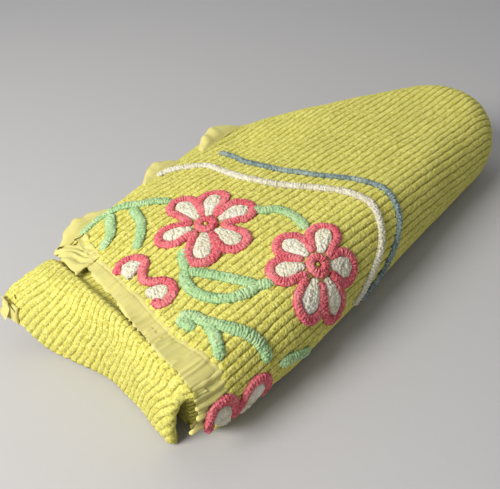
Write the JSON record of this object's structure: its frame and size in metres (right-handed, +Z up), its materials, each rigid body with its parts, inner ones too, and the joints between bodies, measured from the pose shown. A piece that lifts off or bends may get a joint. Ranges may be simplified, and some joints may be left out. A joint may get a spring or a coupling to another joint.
{
  "type": "folded tufted bedspread",
  "caption": "Cotton bedspread with tufted ribs and chenille flowers, folded many times into a long soft bundle that lies flat.",
  "frame": {"origin": "centre of the bounding box in plan, on the floor that the bundle lies on", "axes": "+X along the bundle towards its rounded far fold, +Y across it towards the open side where the layers' edges show, +Z up"},
  "size_m": [0.7261, 0.4004, 0.1344],
  "materials": {
    "yellow_tufts": "tufted cotton in fine ribs",
    "plain_hem": "plain woven cotton",
    "pink_chenille": "thick tufted line",
    "white_chenille": "thick tufted line and fluffy fill",
    "green_chenille": "thick tufted line",
    "blue_chenille": "thick tufted line"
  },
  "bodies": {
    "root": {"underside_layer": "yellow_tufts", "inner_fold_1": "yellow_tufts", "inner_fold_2": "yellow_tufts", "inner_fold_3": "yellow_tufts", "inner_fold_4": "yellow_tufts", "inner_fold_5": "yellow_tufts", "inner_fold_6": "yellow_tufts", "inner_fold_7": "yellow_tufts", "inner_fold_8": "yellow_tufts", "outer_layer": "yellow_tufts", "near_hem": "plain_hem", "hem_return": "plain_hem", "hem_gather": "plain_hem", "lower_panel": "yellow_tufts", "lower_panel_lining": "plain_hem", "left_pleat": "yellow_tufts", "corner_tab": "plain_hem", "side_hem_near": "plain_hem", "side_hem_middle": "plain_hem", "side_hem_far": "plain_hem", "flower_left_outline": "pink_chenille", "flower_left_petals": "white_chenille", "flower_left_ring": "pink_chenille", "flower_left_centre": "yellow_tufts", "flower_right_outline": "pink_chenille", "flower_right_petals": "white_chenille", "flower_right_ring": "pink_chenille", "flower_right_centre": "yellow_tufts", "flower_hem_outline": "pink_chenille", "flower_hem_petals": "white_chenille", "flower_side_outline": "pink_chenille", "flower_side_petals": "white_chenille", "leaf_outline": "green_chenille", "leaf_stem": "green_chenille", "vine_left": "green_chenille", "vine_left_branches": "green_chenille", "vine_middle": "green_chenille", "vine_lower": "green_chenille", "vine_lower_branches": "green_chenille", "vine_side": "green_chenille", "scallop_white": "white_chenille", "scallop_blue": "blue_chenille"}
  },
  "joints": []
}
